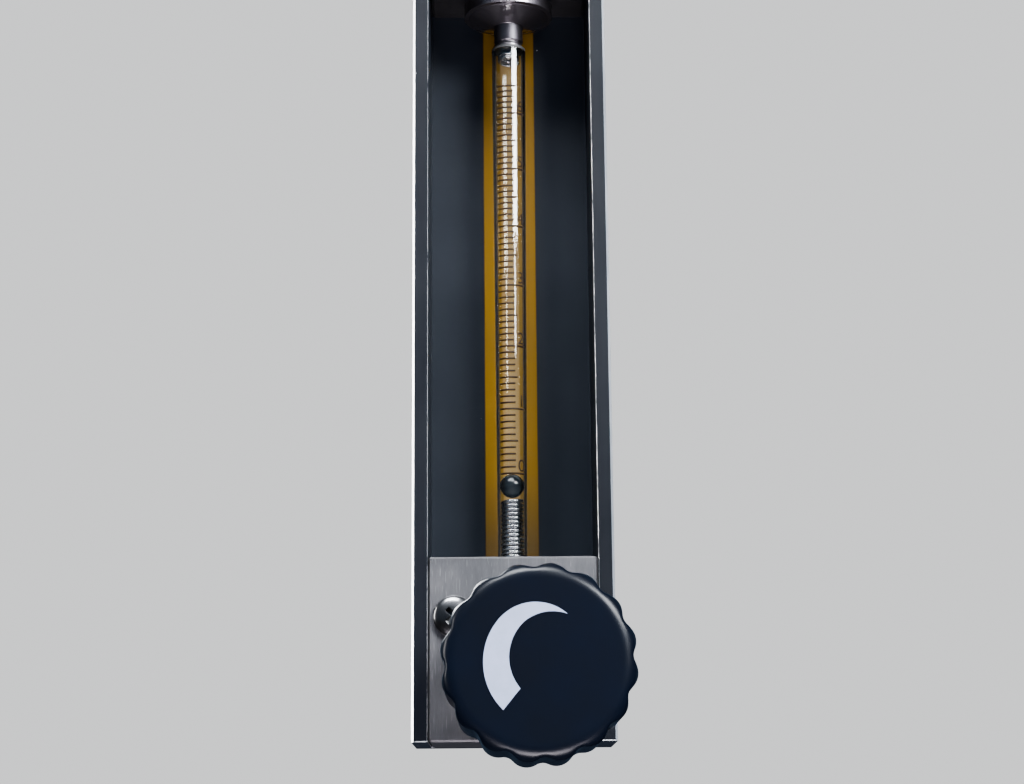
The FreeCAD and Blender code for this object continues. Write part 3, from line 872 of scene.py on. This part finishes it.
class FLOWMETER_OT_fitting(Operator):
    """Turn the flanged adapter at the top of the tube"""
    bl_idname = "flowmeter.fitting"
    bl_label = "Make Tube Fitting"

    def execute(self, context):
        low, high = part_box("tube_adapter")
        top = high.z - low.z
        bore, neck, body, flange = 1.3 * MM, 2.3 * MM, 4.5 * MM, high.x
        groove = neck - 0.18 * MM
        cone_low, cone_high = 3.8 * MM, 5.25 * MM
        flange_low, flange_high = 5.4 * MM, 7.4 * MM
        seal_bed = body - 0.6 * MM
        seal_low = 13.1 * MM
        seal_high = seal_low + 1.2 * MM
        outline = [(bore, 0), (neck, 0), (neck, 0.5 * MM), (groove, 0.65 * MM), (groove, 0.95 * MM),
                   (neck, 1.1 * MM), (neck, cone_low), (flange - 0.9 * MM, cone_high),
                   (flange - 0.75 * MM, flange_low), (flange, flange_low), (flange, flange_high),
                   (body, flange_high), (body, seal_low), (seal_bed, seal_low), (seal_bed, seal_high),
                   (body, seal_high), (body, top), (bore, top)]
        foot = Vector((0, 0, low.z))
        bm = turned(outline, foot, UP, steps=128, softening=0.12 * MM)
        steel = turned_material("turned_fitting", context.scene.flowmeter_colours.fitting, foot,
                                axis_turn=(0, 0, 0), roughness=0.4, coat=1.0)
        finished("tube_fitting", bm, steel, "meter", ["tube_adapter"])
        return {"FINISHED"}


class FLOWMETER_OT_valve(Operator):
    """Finish the needle valve's inner pieces and every seal"""
    bl_idname = "flowmeter.valve"
    bl_label = "Finish Valve"

    def execute(self, context):
        colours = context.scene.flowmeter_colours
        axis = node_centre("valve_stem")
        steel = turned_material("turned_valve", colours.turned, axis)
        brass = turned_material("insert_brass", colours.brass, axis, roughness=0.3)
        dark_steel = turned_material("set_screw_steel", colours.screw, axis, roughness=0.35)
        rubber = moulded_material("seal_rubber", colours.rubber, roughness=0.62, grain_scale=2600.0)
        dress(steel, "valve_stem", "valve_bonnet")
        dress(brass, "knob_insert")
        dress(dark_steel, "knob_set_screw")
        dress(rubber, "lower_tube_gasket", "upper_tube_gasket", "adapter_o_ring", "bonnet_o_ring",
              "stem_o_ring", "port_o_rings")
        dress(moulded_material("seat_plastic", colours.seat, roughness=0.45), "valve_seat")
        return {"FINISHED"}


def lobe_reach(around, sizes, radius):
    """Distance from the axis to the knob's scalloped outline at an angle from the first crest.

    Each crest is an arc about a centre near the rim, and meets the arc of the next hollow smoothly."""
    half_pitch = math.pi / sizes.knob_lobes
    crest = sizes.knob_crest_radius
    crest_centre = radius - crest
    hollow_reach = radius - sizes.knob_lobe_height
    spread = math.cos(half_pitch)
    over = crest ** 2 - crest_centre ** 2 - hollow_reach ** 2 + 2 * crest_centre * hollow_reach * spread
    hollow = over / (2 * (hollow_reach - crest_centre * spread - crest))
    hollow_centre = hollow_reach + hollow
    hollow_place = Vector((hollow_centre * spread, hollow_centre * math.sin(half_pitch)))
    meet = (Vector((crest_centre, 0)) * hollow + hollow_place * crest) / (crest + hollow)
    off = abs((around + half_pitch) % (2 * half_pitch) - half_pitch)
    if off < math.atan2(meet.y, meet.x):
        return crest_centre * math.cos(off) + math.sqrt(crest ** 2 - (crest_centre * math.sin(off)) ** 2)
    off = half_pitch - off
    return hollow_centre * math.cos(off) - math.sqrt(hollow ** 2 - (hollow_centre * math.sin(off)) ** 2)


def soft_minimum(first, second, blend):
    """The smaller of two lengths, rounded over where they cross."""
    near = max(blend - abs(first - second), 0.0) / blend
    return min(first, second) - near * near * blend / 4


def place_ring(rim, ring, sizes, radius):
    """Moves a loop to its radius and distance; a lobed one follows the scalloped outline."""
    reach, distance, lobed = ring
    rounding = 0.5 * MM
    for vert in {v for e in rim for v in e.verts}:
        around = math.atan2(vert.co.y, vert.co.x)
        out = reach
        if lobed:
            lobe = lobe_reach(around - sizes.knob_first_lobe, sizes, radius)
            out = soft_minimum(lobe, reach, rounding) if reach < radius else lobe
        vert.co = (out * math.cos(around), out * math.sin(around), distance)


def knob_rings(sizes, radius, depth, socket, socket_depth):
    """Loops from the knob's socket round its hub, wall and rim to its face: radius, distance, lobed."""
    recess, hub, face = sizes.knob_hub_recess, sizes.knob_hub_radius, sizes.knob_face_radius
    wall = radius - sizes.knob_lobe_height - sizes.knob_wall
    inside = depth - sizes.knob_face_thickness
    edge = depth - sizes.knob_edge_run
    floor = recess + socket_depth
    ease = 0.3 * MM
    plain = [(0.2 * socket, floor), (socket, floor), (socket, recess + ease), (socket + ease, recess),
             (hub - ease, recess), (hub, recess + ease), (hub, inside - ease), (hub + ease, inside),
             (wall - ease, inside), (wall, inside - ease), (wall, ease), (wall + ease, 0)]
    lobed = [(radius - ease, 0), (radius, ease), (radius, edge * 0.5), (radius, edge)]
    for step in range(1, 11):
        bend = math.radians(90 * step / 10)
        lobed.append((face + (radius - face) * math.cos(bend), edge + sizes.knob_edge_run * math.sin(bend)))
    flat = [(face * 0.97, depth), (face * 0.3, depth)]
    return [(*ring, lobes) for rings, lobes in ((plain, False), (lobed, True), (flat, False))
            for ring in rings]


class FLOWMETER_OT_knob(Operator):
    """Mould the lobed knob and set the white crescent in it"""
    bl_idname = "flowmeter.knob"
    bl_label = "Make Knob"

    def execute(self, context):
        sizes = context.scene.flowmeter_sizes
        colours = context.scene.flowmeter_colours
        low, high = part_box("knob")
        insert_low, insert_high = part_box("knob_insert")
        axis = (low + high) / 2
        radius = (high.x - low.x) / 2
        crescent_rise = 0.03 * MM
        insert_gap = 0.05 * MM
        points_per_lobe = 14
        rings = knob_rings(sizes, radius, high.y - low.y - crescent_rise,
                           insert_high.x - axis.x + insert_gap, insert_high.y - insert_low.y)
        bm = bmesh.new()
        bmesh.ops.create_circle(bm, cap_ends=True, segments=sizes.knob_lobes * points_per_lobe, radius=1.0)
        rim = bm.edges[:]
        place_ring(rim, rings[0], sizes, radius)
        for ring in rings[1:]:
            grown = bmesh.ops.extrude_edge_only(bm, edges=rim)["geom"]
            rim = [e for e in grown if isinstance(e, bmesh.types.BMEdge) and e.is_boundary]
            place_ring(rim, ring, sizes, radius)
        bmesh.ops.contextual_create(bm, geom=rim)
        outwards(bm)
        put(bm, (axis.x, high.y, axis.z), UPRIGHT)
        bmesh.ops.recalc_face_normals(bm, faces=bm.faces[:])
        plastic = moulded_material("knob_plastic", colours.knob, roughness=0.31, grain_scale=4200.0,
                                   depth=0.006 * MM, specular=0.13)
        finished("lobed_knob", bm, plastic, "valve_spindle", ["knob"])
        dress(crescent_material(colours), "knob_crescent")
        return {"FINISHED"}


def cross_recess(cutters, place):
    """Adds two crossed wings, narrower towards their depth, that cut a recess into a screw's head."""
    wing_size = (3.7 * MM, 2.6 * MM, 0.85 * MM)
    taper = (0.62, 1.0, 0.7)
    for turn in (45, 135):
        wing = bmesh.ops.create_cube(cutters, size=1.0)["verts"]
        bmesh.ops.scale(cutters, vec=wing_size, verts=wing)
        bmesh.ops.scale(cutters, vec=taper, verts=[v for v in wing if v.co.y > 0])
        bmesh.ops.rotate(cutters, cent=(0, 0, 0), matrix=Matrix.Rotation(math.radians(turn), 3, "Y"),
                         verts=wing)
        bmesh.ops.translate(cutters, vec=place, verts=wing)


def screw_outline(radius, head, shank, behind):
    """Outline of a pan head screw from its tip to the top of its domed head."""
    tip, rim = 0.5 * MM, 0.15 * MM
    skirt, crown = head * 0.42, head * 0.58
    dome = [(radius * math.cos(bend), skirt + crown * math.sin(bend))
            for bend in (math.radians(degrees) for degrees in range(0, 70, 10))]
    return [(0, -behind), (shank - tip, -behind), (shank, -behind + tip), (shank, 0), (radius - rim, 0),
            (radius, rim), *dome, (radius * 0.25, head * 0.985), (0, head)]


class FLOWMETER_OT_screws(Operator):
    """Make the pan head screws that hold the blocks"""
    bl_idname = "flowmeter.screws"
    bl_label = "Make Screws"

    def execute(self, context):
        low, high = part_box("block_screws")
        radius, shank = 3.1 * MM, 1.5 * MM
        front = node_low("lower_block").y
        outline = screw_outline(radius, front - low.y, shank, high.y - front)
        rows = (low.z + radius, high.z - radius)
        places = [(side * (high.x - radius), z) for z in rows for side in (-1, 1)]
        whole = bmesh.new()
        cutters = bmesh.new()
        for x, z in places:
            add_to(whole, turned(outline, Vector((x, front, z)), FRONT, steps=56))
            cross_recess(cutters, (x, low.y, z))
        recessed = cut_by(whole, cutters)
        bmesh.ops.remove_doubles(recessed, verts=recessed.verts[:], dist=MERGE)
        soften(recessed, 0.06 * MM, above=math.radians(35))
        first = (places[0][0], front, places[0][1])
        steel = turned_material("screw_steel", context.scene.flowmeter_colours.screw, first,
                                rings=5000.0, roughness=0.3, coat=1.0)
        finished("pan_screws", recessed, steel, "meter", ["block_screws"])
        return {"FINISHED"}


def thread(name, centre, sizes, made):
    """Ridge of a fine thread wound on a port body from the channel's back to its flats."""
    pitch = sizes.thread_pitch
    start = node_high("housing_channel").y + pitch / 2
    end = node_high("inlet_adapter").y - sizes.port_flats_length - pitch / 2
    root = sizes.port_radius - 0.02 * MM
    crest = root + sizes.thread_height
    half = pitch * 0.42
    bm = bmesh.new()
    section = [bm.verts.new((root, 0, -half)), bm.verts.new((crest, 0, -0.1 * half)),
               bm.verts.new((crest, 0, 0.1 * half)), bm.verts.new((root, 0, half))]
    for pair in zip(section, section[1:] + section[:1]):
        bm.edges.new(pair)
    wind(bm, end - start, pitch, steps=48, sides=len(section))
    put(bm, (centre.x, start, centre.z), UP.rotation_difference(-FRONT).to_matrix().to_4x4())
    outwards(bm)
    finished(name, bm, made, "meter", weighted=False)


class FLOWMETER_OT_ports(Operator):
    """Finish the port adapters and panel nuts at the back and wind the ports' threads"""
    bl_idname = "flowmeter.ports"
    bl_label = "Finish Ports"

    def execute(self, context):
        tint = context.scene.flowmeter_colours.turned
        for node in ("inlet_adapter", "outlet_adapter"):
            centre = node_centre(node)
            steel = turned_material(node + "_steel", tint, centre)
            dress(steel, node)
            thread(node.split("_")[0] + "_thread", centre, context.scene.flowmeter_sizes, steel)
        centre = node_centre("inlet_adapter")
        dress(turned_material("nut_steel", tint, centre, roughness=0.32), "panel_nuts")
        return {"FINISHED"}


class FLOWMETER_PT_panel(Panel):
    """Lists the steps that dress the flowmeter"""
    bl_idname = "FLOWMETER_PT_panel"
    bl_label = "Panel Flowmeter"
    bl_space_type = "VIEW_3D"
    bl_region_type = "UI"
    bl_category = "Flowmeter"

    def draw(self, context):
        for step in STEPS:
            self.layout.operator(step.bl_idname)
        for group in GROUPS:
            box = self.layout.box()
            settings = getattr(context.scene, group)
            for name in settings.__annotations__:
                box.prop(settings, name)


GROUPS = {"flowmeter_sizes": FlowmeterSizes, "flowmeter_colours": FlowmeterColours,
          "flowmeter_studio": FlowmeterStudio}
STEPS = (FLOWMETER_OT_camera, FLOWMETER_OT_stage, FLOWMETER_OT_channel, FLOWMETER_OT_blocks,
         FLOWMETER_OT_tube, FLOWMETER_OT_scale, FLOWMETER_OT_float, FLOWMETER_OT_fitting,
         FLOWMETER_OT_valve, FLOWMETER_OT_knob, FLOWMETER_OT_screws, FLOWMETER_OT_ports)
CLASSES = (*GROUPS.values(), *STEPS, FLOWMETER_PT_panel)


def register():
    for item in CLASSES:
        register_class(item)
    for name, group in GROUPS.items():
        setattr(bpy.types.Scene, name, PointerProperty(type=group))


def unregister():
    for name in GROUPS:
        delattr(bpy.types.Scene, name)
    for item in reversed(CLASSES):
        unregister_class(item)


def main():
    register()
    for step in STEPS:
        group, name = step.bl_idname.split(".")
        getattr(getattr(bpy.ops, group), name)()


if __name__ == "__main__":
    main()
